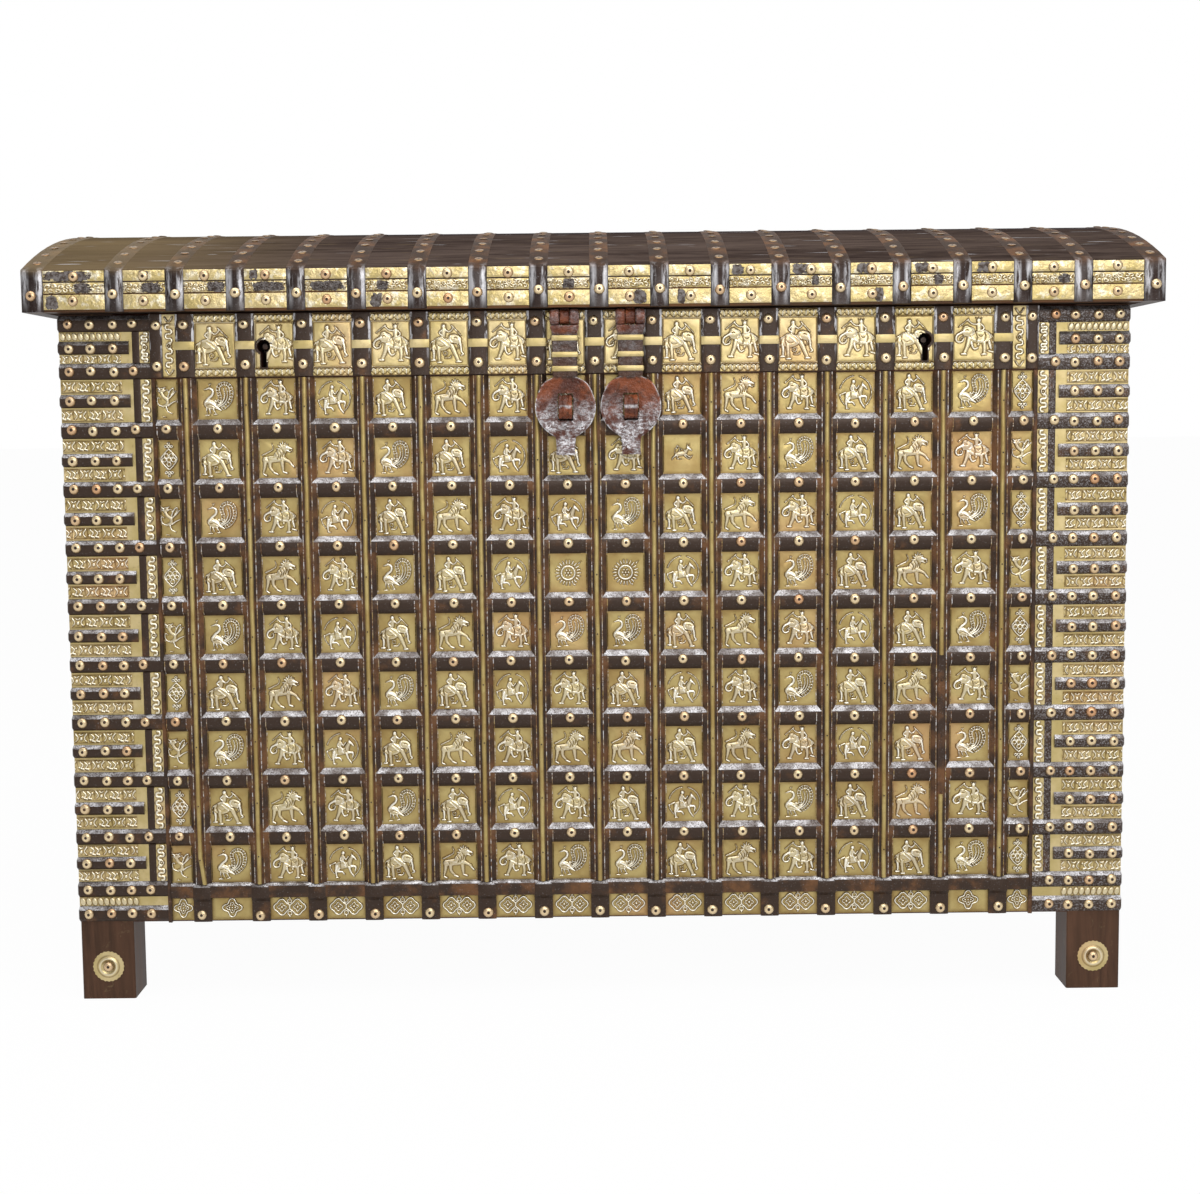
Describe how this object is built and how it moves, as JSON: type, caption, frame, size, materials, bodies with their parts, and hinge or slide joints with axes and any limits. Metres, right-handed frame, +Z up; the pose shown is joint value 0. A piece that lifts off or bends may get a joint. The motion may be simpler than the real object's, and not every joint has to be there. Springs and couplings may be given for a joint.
{
  "type": "dowry chest",
  "caption": "Large wooden chest on corner legs with a shallow domed hinged lid, its front clad in a nailed grid of embossed brass plates under iron bars, with hasps and locks.",
  "frame": {"origin": "middle of the chest's bounding box, on the floor under the legs", "axes": "+X to the viewer's right along the front, -Y out of the front, +Z up"},
  "size_m": [1.454, 0.7605, 1.0372],
  "materials": {
    "wood": "dark, oiled, worn",
    "iron": "forged, worn",
    "brass": "embossed, aged"
  },
  "bodies": {
    "chest": {"back_planks": "wood", "bottom_plates": "brass", "bottom_rail": "iron", "bottom_straps": "iron", "brass_narrow_squares": "brass", "brass_squares": "brass", "corner_iron_strips": "iron", "corner_long_straps": "iron", "corner_nails": "brass", "corner_sheets": "brass", "corner_short_straps": "iron", "cross_bars": "iron", "floor_bearers": "wood", "floor_planks": "wood", "frieze_board": "wood", "frieze_links": "brass", "frieze_plates": "brass", "frieze_straps": "iron", "front_nails": "brass", "front_plank_lower": "wood", "front_plank_middle": "wood", "front_plank_upper": "wood", "hasp_staples": "iron", "hinge_body_leaves": "iron", "hinge_pins": "iron", "keyhole_rings": "iron", "left_end_planks": "wood", "leg_rosettes": "brass", "lock_cases": "iron", "lock_drill_pins": "iron", "lock_springs": "iron", "post_back_left": "wood", "post_back_right": "wood", "post_front_left": "wood", "post_front_right": "wood", "right_end_planks": "wood", "rosette_nails": "brass", "upright_beads": "brass", "uprights": "iron"},
    "lid": {"lid_front_rail": "wood", "lid_back_rail": "wood", "lid_left_end": "wood", "lid_right_end": "wood", "lid_planks": "wood", "lid_lock_rail": "wood", "lid_straps": "iron", "lid_front_brass": "brass", "lid_nails": "brass", "hasp_eyes": "iron", "hasp_pins": "iron", "lock_keepers": "iron", "hinge_lid_leaves": "iron"},
    "hasp_left": {"hasp_left": "iron", "hasp_left_bands": "brass"},
    "hasp_right": {"hasp_right": "iron", "hasp_right_bands": "brass"},
    "bolt_left": {"lock_bolt_left": "iron"},
    "bolt_right": {"lock_bolt_right": "iron"}
  },
  "joints": [
    {"name": "lid_hinge", "type": "hinge", "parent": "chest", "child": "lid", "pos_m": [0, 0.37425, 0.905], "axis": [-1, 0, 0], "range_deg": [0, 100]},
    {"name": "hasp_left_swing", "type": "hinge", "parent": "lid", "child": "hasp_left", "pos_m": [-0.038, -0.36125, 0.893], "axis": [-1, 0, 0], "range_deg": [0, 105]},
    {"name": "hasp_right_swing", "type": "hinge", "parent": "lid", "child": "hasp_right", "pos_m": [0.046, -0.36125, 0.893], "axis": [-1, 0, 0], "range_deg": [0, 105]},
    {"name": "bolt_left_slide", "type": "slide", "parent": "chest", "child": "bolt_left", "axis": [0, 0, 1], "range_m": [0, 0.012]},
    {"name": "bolt_right_slide", "type": "slide", "parent": "chest", "child": "bolt_right", "axis": [0, 0, 1], "range_m": [0, 0.012]}
  ]
}
